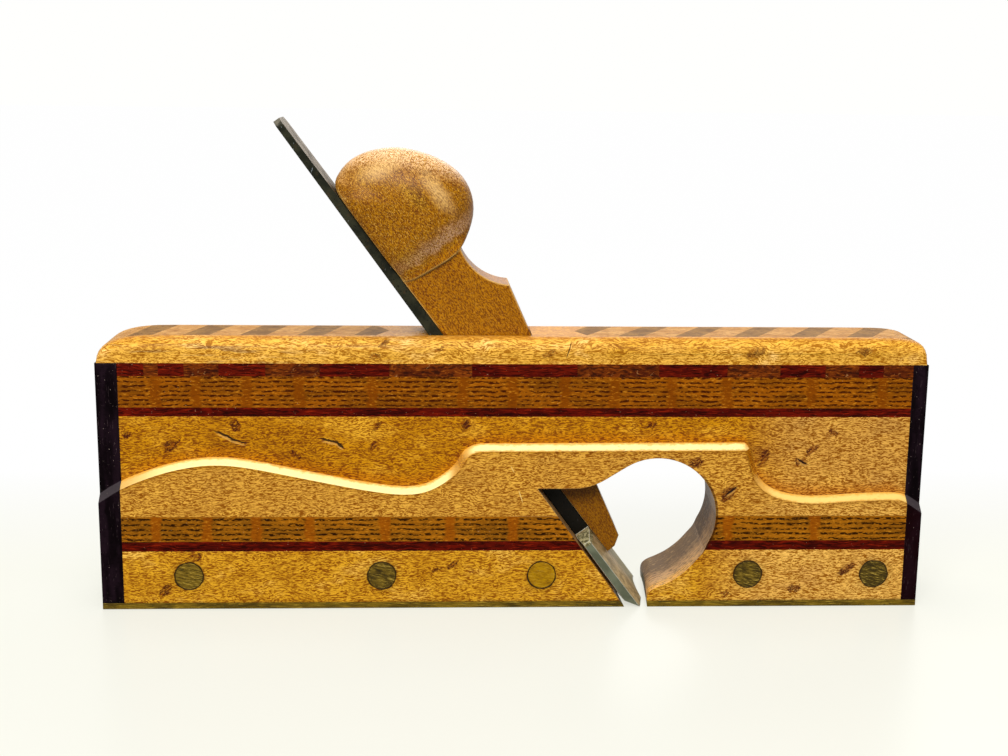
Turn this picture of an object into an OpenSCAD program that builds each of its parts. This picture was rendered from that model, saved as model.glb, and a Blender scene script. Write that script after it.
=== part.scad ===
// Hollow moulding plane: a laminated maple stock with ebony ends, a brass hollow sole held by
// cross pins, a tapered iron and the wedge that holds it.
// The origin lies under the middle of the stock, at the height of the sole. +X points to the toe,
// +Y to the blind side and +Z up. Inside the modules, x runs from the heel end and y from the
// side with the shoulder.

/* [Stock] */
// Length from the heel end to the toe end
stock_l = 241.3; // [228:0.1:270]
// Thickness at the sole
stock_t = 28; // [26:0.1:32]
// Depth that the upper part is set back behind the lower part
recess = 2.6; // [1.5:0.1:3.5]
// Thickness of the dark end piece at the heel
heel_cap_t = 6.3; // [4:0.1:10]
// Thickness of the dark end piece at the toe
toe_cap_t = 4.5; // [3:0.1:8]
// Radius along the long top edges
top_edge_r = 4.2; // [2.5:0.1:4.8]
// Length of the rounded corner at each end of the top
corner_l = 19; // [10:0.1:22]
// Height of the rounded corner at each end of the top
corner_h = 7.8; // [7.6:0.1:11]
// Fullness of the corner at the heel, from 2 for an ellipse up to nearly square
heel_fullness = 2.7; // [1.8:0.1:4.4]
// Fullness of the corner at the toe
toe_fullness = 4.2; // [1.8:0.1:4.4]

/* [Layers, from the sole up] */
// Height of the lower board's top above the sole
lower_board_top = 17.6; // [16.5:0.1:20]
// Height of the lower red strip
lower_red_h = 2.9; // [1.5:0.1:4]
// Height of the lower streaked strip
lower_streaked_h = 7.5; // [6:0.1:9]
// Height of the main board
main_board_h = 29.4; // [27:0.1:36]
// Height of the upper red strip
upper_red_h = 2.6; // [1.5:0.1:4]
// Height of the upper streaked strip
upper_streaked_h = 9.2; // [6:0.1:12]
// Height of the band of red and brown blocks
block_band_h = 3.8; // [2:0.1:6]
// Height of the top board
top_board_h = 7.5; // [6.5:0.1:10]

/* [Brass sole] */
// Thickness of the brass
sole_t = 2; // [1.5:0.1:3]
// Depth of the hollow along the middle of the sole
hollow_depth = 1.8; // [1:0.1:2.4]
// Width of the flat land beside the hollow
land_w = 1; // [0.5:0.1:2]
// Thickness of the tongue that stands in the lower board
tongue_t = 5; // [3:0.1:8]
// Height of the tongue's top above the sole
tongue_top = 15; // [14.5:0.1:16]
// Length of lower board left solid between the tongue and the throat
tongue_gap = 4.5; // [3:0.1:12]
// Radius of a cross pin
pin_r = 3.95; // [2:0.05:4.2]
// Height of the pins above the sole
pin_z = 10; // [9:0.1:10.2]
// Places of the pins near the heel, from the heel end
heel_pins = [25.3, 81.5];
// Places of the pins beside the throat, from the mouth's front edge
mouth_pins = [-31.7, 29.8];
// Place of the pin near the toe, from the toe end
toe_pins = [13.3];

/* [Throat] */
// Distance from the heel end to the mouth's front edge
mouth_x = 160.3; // [150:0.05:166]
// Width of the mouth along the sole, from the bed to the front edge
mouth_w = 6.9; // [6.8:0.05:9]
// Angle of the bed above the sole
bed_angle = 54.05; // [52:0.05:56]
// Radius of the round hole through the stock
hole_r = 17.5; // [14:0.1:18]
// Distance of the hole's centre in front of the mouth
hole_dx = 2; // [1:0.05:6]
// Angle at which the hole slants towards the toe on its way to the blind side
hole_slant = 3.7; // [0:0.1:5]
// Height of the hole's centre above the sole
hole_z = 28.1; // [26:0.1:29]
// Height of the horn, where the throat narrows to the bed
horn_z = 36.4; // [34:0.1:38]
// Slope of the throat's roof between the horn and the hole
roof_angle = 32; // [26:1:38]
// Radius that joins the horn to the roof
roof_r = 18; // [10:0.5:22]
// Angle below the hole's middle height at which the ramp runs into the hole
ramp_turn = 30; // [20:1:40]
// Width of the mortise for the tang and the wedge
mortise_w = 15.6; // [12:0.1:16]
// Distance from the bed to the mortise's front at the top of the stock, along the stock
mortise_l = 30.2; // [28:0.1:34]
// Angle of the mortise's front above the sole
wear_angle = 65.9; // [63:0.1:67]

/* [Iron] */
// Length of the iron along the bed
iron_l = 177.8; // [168:0.1:190]
// Thickness at the top end
iron_t_top = 2; // [1.5:0.1:2.6]
// Thickness at the cutting edge
iron_t_edge = 5; // [4.4:0.1:5.2]
// Angle between the back and the ground bevel
bevel_angle = 32; // [28:1:38]
// Width of the tang
tang_w = 15; // [10:0.1:15.4]
// Length of the wide blade along the bed
blade_l = 26.5; // [20:0.5:32]
// Rise of the blade's sloping shoulders
blade_shoulder = 1.6; // [0:0.1:4]
// Depth of the relief ground along the blade's front edge, on the side with the shoulder
relief_depth = 1.4; // [0.5:0.1:2]
// Width of that relief
relief_w = 6; // [2:0.1:6.2]
// Depth of the relief along the blade's back edge, on the same side
back_relief = 1; // [0.3:0.1:1.3]
// Clearance between the iron and its bed
bed_gap = 0.15; // [0.1:0.05:0.3]
// Length of the corners taken off the tang's top end
tang_corner = 1.6; // [0.5:0.1:4]

/* [Wedge] */
// Clearance between the wedge and the iron, and beside the wedge
wedge_gap = 0.2; // [0.15:0.05:0.3]
// Distance of the wedge's tip from the sole, along the bed
wedge_tip = 14.5; // [13:0.5:20]
// Height of the wedge's toe, where its front is cut back to the tip
wedge_toe_z = 19.8; // [18.5:0.1:24]
// Height of the wedge's upper front corner above the top of the stock
corner_rise = 14.8; // [12:0.1:20]
// Radius of the hollow between the front corner and the neck
scoop_r = 16.1; // [14:0.1:18]
// Thickness of the rounded head
head_t = 23; // [19:0.1:24.5]
// Size of the rounded head, as a share of the one shown
head_scale = 1; // [0.9:0.01:1.1]

/* [Striped inlay] */
// Depth of the inlaid panels
inlay_t = 1.6; // [1:0.1:2.5]
// Distance between dark stripes on the heel side
heel_pitch = 16.3; // [14:0.1:20]
// Place of the first dark stripe's middle, from the heel end
heel_first = 14.4; // [13:0.1:20]
// Slant of the heel side's stripes across the panel
heel_slant = 4.8; // [2:0.1:8]
// Place of the heel panel's pointed tip, from the heel end
heel_tip = 83.5; // [80:0.1:88]
// Distance between dark stripes on the toe side
toe_pitch = 16.95; // [14:0.05:20]
// Place of the first dark stripe's middle, from the toe end
toe_first = 99.6; // [97:0.1:101]
// Slant of the toe side's stripes across the panel
toe_slant = 10; // [6:0.1:12]
// Place of the toe panel's pointed tip, from the toe end
toe_tip = 103; // [100:0.1:106]
// Length of a dark stripe along the panel
dark_l = 7.6; // [5:0.1:9]
// Length of a panel's pointed end
point_l = 3.7; // [2:0.1:6]

/* [Hidden] */
$fn = 96;
// Facets of the wide, shallow arcs of the hollow
wide_fn = 180;
// Length by which a cut runs past the solid, and the least distance between two points of a skin
past = 1;
skim = 0.1;

// Heights of the joints between the layers
red_z = lower_board_top;
streak_z = red_z + lower_red_h;
main_z = streak_z + lower_streaked_h;
upper_red_z = main_z + main_board_h;
upper_streak_z = upper_red_z + upper_red_h;
band_z = upper_streak_z + upper_streaked_h;
top_z = band_z + block_band_h;
stock_h = top_z + top_board_h;
board_x0 = heel_cap_t;
board_x1 = stock_l - toe_cap_t;

// Arc of the hollow: it spans the sole between its two lands
hollow_half = stock_t / 2 - land_w;
hollow_r = (hollow_half ^ 2 + hollow_depth ^ 2) / (2 * hollow_depth);
mid_y = stock_t / 2;
upper_mid_y = (recess + stock_t) / 2;

// Bed, iron and wear lines in the upright plane of the stock
bed_x0 = mouth_x - mouth_w;
function bed_x(z) = bed_x0 - z / tan(bed_angle);
wear_x0 = bed_x(stock_h) + mortise_l + stock_h / tan(wear_angle);
function wear_x(z) = wear_x0 - z / tan(wear_angle);

// A place that lies u up the bed from the sole and v above the bed
function on_bed(u, v) = [bed_x0 - u * cos(bed_angle) + v * sin(bed_angle),
    u * sin(bed_angle) + v * cos(bed_angle)];

// The iron's front face: the edge meets the sole's plane, and the thickness falls evenly
edge_u = -(bed_gap + iron_t_edge) / tan(bed_angle);
iron_top_u = edge_u + iron_l;
iron_fall = (iron_t_edge - iron_t_top) / iron_l;
function front_v(u) = bed_gap + iron_t_edge - iron_fall * (u - edge_u);

// The hole, and the ramp that leads from the mouth into it over a rounded lip, each place of the
// ramp as shares of its length and rise
hole_x = mouth_x + hole_dx;
ramp_top = [hole_x + hole_r * cos(ramp_turn), hole_z - hole_r * sin(ramp_turn)];
ramp_line = [[0, 0], [-0.01, 0.12], [0.01, 0.21], [0.09, 0.28], [0.24, 0.34], [0.4, 0.41],
    [0.55, 0.5], [0.69, 0.61], [0.82, 0.74], [0.93, 0.86], [1, 1]];
ramp_steps = 3;

// The shoulder's lower edge, each place as [from the heel end, height]
heel_swell = [[-past, 31.5], [6.7, 36.4], [16.6, 40.4], [25.6, 42.7], [34, 43.5], [43.5, 42.6],
    [59.5, 39.4], [75.7, 36.2], [88, 34.7], [96, 36.1], [103.3, 41], [107, 46.2], [110.3, 47.6]];
// The same on the toe side, each place as [from the toe end, height]
toe_swell = [[53.4, 47.9], [52.8, 45.9], [51.1, 40], [47.6, 35.6], [41.8, 32.9], [33, 31.7],
    [19.9, 32.4], [9.3, 32.7], [4.8, 31.9], [-past, 28]];
shoulder_rise = 1.9;
swell_steps = 4;

function lerp(a, b, t) = a + (b - a) * t;

// A smooth curve through the points p, with n steps between neighbours
function through(a, b, c, d, t) = b + (c - a) * t / 2
    + (2 * a - 5 * b + 4 * c - d) * t ^ 2 / 2 + (3 * b - a - 3 * c + d) * t ^ 3 / 2;
function smooth(p, n) = concat(
    [for (i = [0:len(p) - 2]) for (k = [0:n - 1])
        through(p[max(i - 1, 0)], p[i], p[i + 1], p[min(i + 2, len(p) - 1)], k / n)],
    [p[len(p) - 1]]);

shoulder = concat(smooth(heel_swell, swell_steps),
    smooth([for (q = toe_swell) [stock_l - q[0], q[1]]], swell_steps));
function shoulder_run(i) = shoulder[min(i + 1, len(shoulder) - 1)] - shoulder[max(i - 1, 0)];
function shoulder_up(i) = [-shoulder_run(i)[1], shoulder_run(i)[0]] / norm(shoulder_run(i));

// A solid skinned over rings of equally many points, and closed by a fan of faces at both ends
function middle(ring) = [for (axis = [0:2]) let (c = [for (p = ring) p[axis]]) (c * [for (v = c) 1])
    / len(c)];
module skin(rings) {
    m = len(rings[0]);
    n = len(rings);
    first = n * m;
    last = first + 1;
    polyhedron(
        concat([for (ring = rings) for (p = ring) p], [middle(rings[0]), middle(rings[n - 1])]),
        concat(
            [for (i = [0:m - 1]) [first, (i + 1) % m, i]],
            [for (r = [0:n - 2]) for (i = [0:m - 1])
                [r * m + i, r * m + (i + 1) % m, (r + 1) * m + i]],
            [for (r = [0:n - 2]) for (i = [0:m - 1])
                [r * m + (i + 1) % m, (r + 1) * m + (i + 1) % m, (r + 1) * m + i]],
            [for (i = [0:m - 1]) [last, (n - 1) * m + i, (n - 1) * m + (i + 1) % m]]),
        convexity = 8);
}

module from_heel() {
    translate([-stock_l / 2, -stock_t / 2, 0])
        children();
}

// A profile drawn as [along the stock, height] and carried across from y0 to y1
module across(y0, y1) {
    translate([0, y1, 0])
        rotate([90, 0, 0])
            linear_extrude(y1 - y0)
                children();
}

module layer(x0, x1, z0, z1, y0 = 0) {
    translate([x0, y0, z0])
        cube([x1 - x0, stock_t - y0, z1 - z0]);
}

// All that is cut away over the shoulder: a face set back, and the slope that runs up to it
module shoulder_cut() {
    over = stock_h + past;
    skin([for (i = [0:len(shoulder) - 1])
        let (low = shoulder[i],
            high = low + shoulder_rise * shoulder_up(i),
            out = low - (high - low) * skim / recess)
        [[out[0], -skim, out[1]], [out[0], -skim, over], [high[0], recess, over],
            [high[0], recess, high[1]]]]);
}

module throat() {
    tangent = [hole_x - hole_r * sin(roof_angle), hole_z + hole_r * cos(roof_angle)];
    rise = roof_r * (1 - cos(roof_angle));
    bend_x = tangent[0] - roof_r * sin(roof_angle)
        + (horn_z + rise - tangent[1]) / tan(roof_angle);
    steps = 6;
    bend = [for (k = [0:steps]) let (a = roof_angle * k / steps)
        [bend_x + roof_r * sin(a), horn_z + roof_r * (1 - cos(a))]];
    ramp = [for (q = smooth(ramp_line, ramp_steps))
        [lerp(mouth_x, ramp_top[0], q[0]), ramp_top[1] * q[1]]];
    // behind the bed's plane, which stays square to the sides, and beside both faces, also where
    // the slant moves the cut away from them
    behind = bed_x(horn_z) - 3 * past;
    beside = 5 * past;
    intersection() {
        across(-past, stock_t + past)
            polygon([[bed_x(-past), -past], [bed_x(stock_h), stock_h], [stock_l, stock_h],
                [stock_l, -past]]);
        translate([hole_x, 0, 0])
            rotate([0, 0, -hole_slant])
                translate([-hole_x, 0, 0]) {
                    across(-beside, stock_t + beside)
                        translate([hole_x, hole_z])
                            circle(hole_r);
                    across(-beside, stock_t + beside)
                        polygon(concat([[behind, horn_z]], bend, [tangent, [hole_x, hole_z]],
                            [for (k = [len(ramp) - 1:-1:0]) ramp[k]],
                            [[mouth_x, -past], [behind, -past]]));
                }
    }
}

module mortise() {
    foot = hole_z;
    head = stock_h + past;
    across(upper_mid_y - mortise_w / 2, upper_mid_y + mortise_w / 2)
        polygon([[bed_x(foot), foot], [bed_x(head), head], [wear_x(head), head],
            [wear_x(foot), foot]]);
}

// A round bar along the stock whose underside or top side is an arc of the hollow
module hollow_bar(r) {
    translate([-past, mid_y, hollow_depth - hollow_r])
        rotate([0, 90, 0])
            cylinder(r = r, h = stock_l + 2 * past, $fn = wide_fn);
}

module pin_bars(grow = 0) {
    for (x = concat(heel_pins, [for (q = mouth_pins) mouth_x + q],
            [for (q = toe_pins) stock_l - q]))
        across(-grow, stock_t + grow)
            translate([x, pin_z])
                circle(pin_r);
}

// The brass shoe between x0 and x1, with its tongue between t0 and t1
module sole(x0, x1, t0, t1) {
    from_heel()
        difference() {
            union() {
                intersection() {
                    layer(x0, x1, 0, tongue_top);
                    hollow_bar(hollow_r + sole_t);
                }
                translate([t0, mid_y - tongue_t / 2, hollow_depth])
                    cube([t1 - t0, tongue_t, tongue_top - hollow_depth]);
            }
            hollow_bar(hollow_r);
            throat();
            pin_bars(past);
        }
}

tongue_x1 = bed_x(tongue_top) - tongue_gap;
tongue_x2 = hole_x + hole_r + tongue_gap;

module sole_heel() {
    color("#8a7a35") sole(0, mouth_x - past, board_x0, tongue_x1);
}

module sole_toe() {
    color("#8a7a35") sole(mouth_x - past, stock_l, tongue_x2, board_x1);
}

module cross_pins() {
    color("#9a8a3c")
        from_heel()
            pin_bars();
}

module lower_board(x0, x1, t0, t1) {
    color("#c98a35")
        from_heel()
            difference() {
                layer(x0, x1, 0, red_z);
                hollow_bar(hollow_r + sole_t);
                translate([t0, mid_y - tongue_t / 2, 0])
                    cube([t1 - t0, tongue_t, tongue_top]);
                throat();
                pin_bars(past);
            }
}

module lower_board_heel() {
    lower_board(board_x0, mouth_x - past, board_x0 - past, tongue_x1);
}

module lower_board_toe() {
    lower_board(mouth_x - past, board_x1, tongue_x2, board_x1 + past);
}

module strip(x0, x1, z0, z1, shade) {
    color(shade)
        from_heel()
            difference() {
                layer(x0, x1, z0, z1);
                throat();
            }
}

module lower_red_strip_heel() {
    strip(board_x0, mouth_x, red_z, streak_z, "#6b1a14");
}

module lower_red_strip_toe() {
    strip(mouth_x, board_x1, red_z, streak_z, "#6b1a14");
}

module lower_streaked_strip_heel() {
    strip(board_x0, mouth_x, streak_z, main_z, "#96602c");
}

module lower_streaked_strip_toe() {
    strip(mouth_x, board_x1, streak_z, main_z, "#96602c");
}

module main_board() {
    color("#cf9440")
        from_heel()
            difference() {
                layer(board_x0, board_x1, main_z, upper_red_z);
                shoulder_cut();
                throat();
                mortise();
            }
}

module upper_layer(z0, z1, shade) {
    color(shade)
        from_heel()
            difference() {
                layer(board_x0, board_x1, z0, z1, recess);
                mortise();
            }
}

module upper_red_strip() {
    upper_layer(upper_red_z, upper_streak_z, "#6b1a14");
}

module upper_streaked_strip() {
    upper_layer(upper_streak_z, band_z, "#96602c");
}

// Lengths of the band's blocks from the middle block outward, the last ones shortened by the ends
block_mid = 122.95;
block_l = [30.5, 23.8, 20, 15.5, 13.3, 9.9, 7.3, 4.1, 20];
function block_edge(i) = i == 0 ? block_l[0] / 2 : block_edge(i - 1) + block_l[i];
toe_last = 7;

module band_blocks(parity, shade) {
    color(shade)
        from_heel()
            difference() {
                for (i = [parity:2:len(block_l) - 1]) {
                    inner = i == 0 ? -block_edge(0) : block_edge(i - 1);
                    outer = i >= toe_last ? stock_l : block_mid + block_edge(i);
                    if (i <= toe_last)
                        layer(block_mid + inner, min(outer, board_x1), band_z, top_z, recess);
                    if (i > 0)
                        layer(max(block_mid - block_edge(i), board_x0), block_mid - inner,
                            band_z, top_z, recess);
                }
                mortise();
            }
}

module band_blocks_red() {
    band_blocks(0, "#742018");
}

module band_blocks_brown() {
    band_blocks(1, "#7c4c24");
}

// A rounded end corner of the stock seen from the side, of a fullness f, at the angle a, set in by d
corner_steps = 10;
end_share = 0.15;
function start_a(f) = asin(((corner_h - top_board_h) / corner_h) ^ (f / 2));
function corner(f, a, d) = let (
        q = [cos(a) ^ (2 / f), sin(a) ^ (2 / f)],
        n = [q[0] ^ (f - 1) / corner_l, q[1] ^ (f - 1) / corner_h],
        inset = d * lerp(end_share, 1, sin(a)))
    [-corner_l * (1 - q[0]), -corner_h * (1 - q[1])] - inset * n / norm(n);
function top_corner(f, d) = [for (k = [0:corner_steps])
    corner(f, lerp(start_a(f), 90, k / corner_steps), d)];
function heel_side(q) = [-q[0], stock_h + q[1]];
function toe_side(q) = [stock_l + q[0], stock_h + q[1]];

// The stock's outline from the side, lifted by an amount
module stock_outline(lift = 0) {
    function side_line(f) = concat([corner(f, 0, 0), corner(f, start_a(f) / 2, 0)],
        top_corner(f, 0));
    toe_line = side_line(toe_fullness);
    translate([0, lift])
        polygon(concat([[0, 0]], [for (q = side_line(heel_fullness)) heel_side(q)],
            [for (k = [len(toe_line) - 1:-1:0]) toe_side(toe_line[k])], [[stock_l, 0]]));
}

// One section of the top board, set in by d at its rounded edge, at the place y
function top_ring(y, d) = let (
        heel = top_corner(heel_fullness, d),
        toe = top_corner(toe_fullness, d))
    [for (q = concat([[heel[0][0], -top_board_h]], [for (k = [1:corner_steps]) heel[k]]))
            [heel_side(q)[0], y, heel_side(q)[1]],
        for (q = concat([for (k = [corner_steps:-1:1]) toe[k]], [[toe[0][0], -top_board_h]]))
            [toe_side(q)[0], y, toe_side(q)[1]]];

edge_steps = 6;
module rounded_top() {
    far = [for (k = [0:edge_steps]) let (a = 90 * k / edge_steps)
        [stock_t - top_edge_r * (1 - cos(a)), top_edge_r * (1 - sin(a))]];
    near = [for (k = [edge_steps:-1:0]) [stock_t + recess - far[k][0], far[k][1]]];
    skin([for (s = concat(far, near)) top_ring(s[0], s[1])]);
}

// The panels let into the top: a skin under the top surface between the two rounded edges
panel_margin = 0.2;
panel_y0 = recess + top_edge_r + panel_margin;
panel_y1 = stock_t - top_edge_r - panel_margin;
module panel_skin() {
    across(panel_y0, panel_y1)
        difference() {
            stock_outline();
            stock_outline(-inlay_t);
        }
}

// What is cut from the top board to let a panel in
module panel_bed() {
    across(panel_y0, panel_y1)
        difference() {
            translate([-past, 0])
                square([stock_l + 2 * past, stock_h + past]);
            stock_outline(-inlay_t);
        }
}

module panel_plan(tip, dir) {
    reach = dir > 0 ? stock_l - inlay_t : inlay_t;
    polygon([[tip, (panel_y0 + panel_y1) / 2], [tip + dir * point_l, panel_y0],
        [reach, panel_y0], [reach, panel_y1], [tip + dir * point_l, panel_y1]]);
}

stripes = 7;
module dark_plan(first, pitch, slant) {
    for (i = [0:stripes - 1])
        translate([first + i * pitch, (panel_y0 + panel_y1) / 2])
            polygon([for (s = [[-1, -1], [1, -1], [1, 1], [-1, 1]])
                [s[0] * dark_l / 2 + s[1] * slant / 2, s[1] * (panel_y1 - panel_y0) / 2]]);
}

module inlay(tip, dir, first, pitch, slant, dark) {
    from_heel()
        intersection() {
            panel_skin();
            linear_extrude(stock_h + past)
                if (dark)
                    intersection() {
                        panel_plan(tip, dir);
                        dark_plan(first, pitch, slant);
                    }
                else
                    difference() {
                        panel_plan(tip, dir);
                        dark_plan(first, pitch, slant);
                    }
        }
}

module heel_inlay(dark) {
    inlay(heel_tip, -1, heel_first, heel_pitch, heel_slant, dark);
}

module toe_inlay(dark) {
    inlay(stock_l - toe_tip, 1, stock_l - toe_first, toe_pitch, toe_slant, dark);
}

module inlay_dark_heel() {
    color("#5a3a28") heel_inlay(true);
}

module inlay_light_heel() {
    color("#d9a552") heel_inlay(false);
}

module inlay_dark_toe() {
    color("#5a3a28") toe_inlay(true);
}

module inlay_light_toe() {
    color("#d9a552") toe_inlay(false);
}

module top_board() {
    color("#d39a48")
        from_heel()
            difference() {
                rounded_top();
                intersection() {
                    panel_bed();
                    linear_extrude(stock_h + 2 * past) {
                        panel_plan(heel_tip, -1);
                        panel_plan(stock_l - toe_tip, 1);
                    }
                }
                mortise();
            }
}

module end_cap(x0, x1) {
    color("#2b1a1c")
        from_heel()
            difference() {
                intersection() {
                    layer(x0, x1, 0, top_z);
                    across(0, stock_t)
                        stock_outline();
                }
                hollow_bar(hollow_r + sole_t);
                shoulder_cut();
            }
}

module heel_cap() {
    end_cap(0, board_x0);
}

module toe_cap() {
    end_cap(board_x1, stock_l);
}

// Drawn lying on the bed: x runs down the bed to the sole, z stands up from it
module along_bed() {
    translate([bed_x0, 0, 0])
        rotate([0, bed_angle, 0])
            children();
}

module iron() {
    side_room = 0.1;
    step_x = -edge_u - blade_l;
    relief_x = step_x - blade_shoulder;
    relief_l = blade_l + blade_shoulder + 3 * past;
    // the bevel is ground lower on the relieved side, so that the edge still meets the sole there
    grind_drop = relief_depth * sin(bed_angle - bevel_angle) / sin(bed_angle);
    // the bevel's own arc, so that the edge follows the hollow of the sole
    front_angle = bed_angle - atan(iron_fall);
    arc_depth = hollow_depth * sin(bevel_angle - atan(iron_fall)) / sin(front_angle)
        + grind_drop / 2;
    arc_r = (hollow_half ^ 2 + arc_depth ^ 2) / (2 * arc_depth);
    color("#4a4f50")
        from_heel()
            along_bed()
                difference() {
                    across(side_room, stock_t - side_room)
                        polygon([[-iron_top_u, bed_gap], [-iron_top_u, bed_gap + iron_t_top],
                            [-edge_u, bed_gap + iron_t_edge],
                            [bed_gap / tan(bed_angle), bed_gap]]);
                    for (side = [-1, 1]) {
                        tang_y = upper_mid_y + side * tang_w / 2;
                        outer_y = mid_y + side * (stock_t / 2 + past);
                        // the cheek beside the tang, down to the blade's shoulder
                        translate([0, 0, -past])
                            linear_extrude(iron_t_edge + 2 * past)
                                polygon([[-iron_l, tang_y], [relief_x, tang_y],
                                    [step_x, outer_y], [-iron_l, outer_y]]);
                        // the corner of the top end
                        translate([-iron_top_u, tang_y, 0])
                            rotate([0, 0, 45])
                                cube([tang_corner * sqrt(2), tang_corner * sqrt(2),
                                    3 * iron_t_edge], center = true);
                    }
                    // the reliefs along the blade's front edge and its back edge
                    translate([relief_x, 0, front_v(-relief_x) - relief_depth])
                        rotate([atan(relief_depth / relief_w), -atan(iron_fall), 0])
                            translate([-past, -relief_w, 0])
                                cube([relief_l, 3 * relief_w, iron_t_edge]);
                    translate([relief_x, 0, bed_gap + back_relief])
                        rotate([-atan(back_relief / relief_w), 0, 0])
                            translate([-past, -relief_w, -iron_t_edge])
                                cube([relief_l, 3 * relief_w, iron_t_edge]);
                    // the ground bevel with its arc
                    translate([-edge_u, stock_t, bed_gap + iron_t_edge])
                        rotate([0, -bevel_angle, 0])
                            rotate([atan(grind_drop / stock_t), 0, 0]) {
                                translate([-blade_l, -stock_t - past, -blade_l])
                                    cube([2 * blade_l, stock_t + 2 * past, blade_l]);
                                translate([-blade_l, mid_y - stock_t, arc_depth - arc_r])
                                    rotate([0, 90, 0])
                                        cylinder(r = arc_r, h = 2 * blade_l, $fn = wide_fn);
                            }
                }
}

// The head's outline, each place as [up the iron's face from the neck, out from that face]
neck_u = 117;
head = [[32.4, 0.6], [34.8, 3.4], [35.9, 8.6], [34.6, 14.8], [31, 21.2], [25.7, 26.2],
    [19.7, 29.8], [13.5, 31.4], [7.6, 30.5], [2.6, 27.3], [-1.2, 22], [-2.9, 17], [-2.6, 9],
    [-1.5, 1.5], [1.5, 0], [14, 0], [27, 0]];
// Half thickness of the head's rim at those places, as a share of the full half thickness
head_rim = [0.4, 0.16, 0.12, 0.12, 0.12, 0.12, 0.12, 0.12, 0.12, 0.2, 0.62, 1, 1, 0.95, 0.85,
    0.8, 0.72];
head_middle = [15, 15];
// Height above the neck at which the blade's back ends, inside the head
blade_top = 3;
head_turn = 3;
head_levels = [0.1, 0.3, 0.5, 0.64, 0.75, 0.84, 0.91, 0.96, 0.99, 1];
rim_least = 0.1;
pillow = 2.2;
// The cove between the head and the flat collar at the neck, as heights above the neck
cove_low = -0.8;
cove_high = 7.5;
collar = 0.74;

function loop_point(p, i, t) = let (n = len(p))
    through(p[(i - 1 + n) % n], p[i], p[(i + 1) % n], p[(i + 2) % n], t);

// A place in the stock's upright plane that lies out from the iron's face, above the neck
function on_iron(up, out) = on_bed(neck_u + up, front_v(neck_u + up) + wedge_gap + out);

// Share of the head's thickness that the cove leaves at a height above the neck
function cove(up) = let (t = min(max((up - cove_low) / (cove_high - cove_low), 0), 1))
    lerp(collar, 1, t * t * (3 - 2 * t));

// The head's outline drawn in by the share k, at its own height on one side
function head_ring(k, side) = [for (i = [0:len(head) - 1]) for (t = [0:head_turn - 1])
    let (
        edge = loop_point(head, i, t / head_turn),
        rim = max(loop_point(head_rim, i, t / head_turn), rim_least),
        q = lerp(head_middle, edge, k) * head_scale,
        high = lerp(rim, 1, sqrt(1 - k ^ pillow)) * cove(q[0]) * head_t / 2,
        s = on_iron(q[0], max(q[1], skim)))
    [s[0], upper_mid_y + side * high, s[1]]];

scoop_lean = 0.9;
scoop_end = 196;
scoop_steps = 12;
tip_blunt = [2.1, 1.8];

module wedge() {
    tip = on_bed(wedge_tip, front_v(wedge_tip) + wedge_gap);
    corner_z = stock_h + corner_rise;
    front_corner = [wear_x(corner_z) - wedge_gap, corner_z];
    scoop = front_corner + [scoop_lean, sqrt(scoop_r ^ 2 - scoop_lean ^ 2)];
    scoop_start = 270 - asin(scoop_lean / scoop_r);
    half = mortise_w / 2 - wedge_gap;
    color("#cc8c38")
        from_heel() {
            across(upper_mid_y - half, upper_mid_y + half)
                polygon(concat(
                    [tip, on_iron(blade_top, 0), on_iron(head_middle[0] / 2, head_middle[1] / 2)],
                    [for (k = [scoop_steps:-1:0])
                        let (a = lerp(scoop_start, scoop_end, k / scoop_steps))
                        scoop + scoop_r * [cos(a), sin(a)]],
                    [[wear_x(wedge_toe_z) - wedge_gap, wedge_toe_z], tip + tip_blunt]));
            skin(concat([for (k = head_levels) head_ring(k, 1)],
                [for (j = [len(head_levels) - 1:-1:0]) head_ring(head_levels[j], -1)]));
        }
}

sole_heel();
sole_toe();
cross_pins();
lower_board_heel();
lower_board_toe();
lower_red_strip_heel();
lower_red_strip_toe();
lower_streaked_strip_heel();
lower_streaked_strip_toe();
main_board();
upper_red_strip();
upper_streaked_strip();
band_blocks_red();
band_blocks_brown();
top_board();
inlay_dark_heel();
inlay_light_heel();
inlay_dark_toe();
inlay_light_toe();
heel_cap();
toe_cap();
iron();
wedge();
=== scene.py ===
import math

import bpy
from mathutils import Matrix, Vector

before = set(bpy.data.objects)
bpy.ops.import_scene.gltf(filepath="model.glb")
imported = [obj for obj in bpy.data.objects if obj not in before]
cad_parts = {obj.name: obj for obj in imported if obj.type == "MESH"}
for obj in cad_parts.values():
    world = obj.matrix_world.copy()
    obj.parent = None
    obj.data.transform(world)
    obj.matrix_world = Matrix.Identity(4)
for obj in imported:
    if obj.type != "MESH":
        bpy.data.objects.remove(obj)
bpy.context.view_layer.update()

# Places below are millimetres from the heel end (x), the near face (y) and the sole (z)
MM = 0.001
HALF_L, HALF_T = 120.65, 14.0
BED_X, BED_ANGLE = 153.4, math.radians(54.05)
MOUTH_X = 160.3
PINS = [25.3, 81.5, MOUTH_X - 31.7, MOUTH_X + 29.8, 228.0]
FIRST_PIN, NEWER_PIN, DULL_PIN = PINS[0], PINS[2], PINS[4]
PIN_Z, PIN_R = 10.0, 3.95
SOLE_T = 2.0
RECESS = 2.6
STOCK_TOP, INLAY_Y = 80.5, 7.0

# The middle of the round hole, and the radius of the painted shadow line beside it
HOLE_X, HOLE_Z, SHADOW_LINE_R = 162.3, 28.1, 17.9

# The stretch that the throat takes up, and the height of the shade in it
THROAT_HEEL, THROAT_TOE, THROAT_ROOF = 119.0, 183.0, 47.0
SHADE_Z = 38.0

# Lengths up the bed at which a look changes: near the blade's top, under the wedge's head and
# near the tang's top
BLADE_U, HEAD_U, TANG_U = 24.5, 116.3, 172.5

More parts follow.
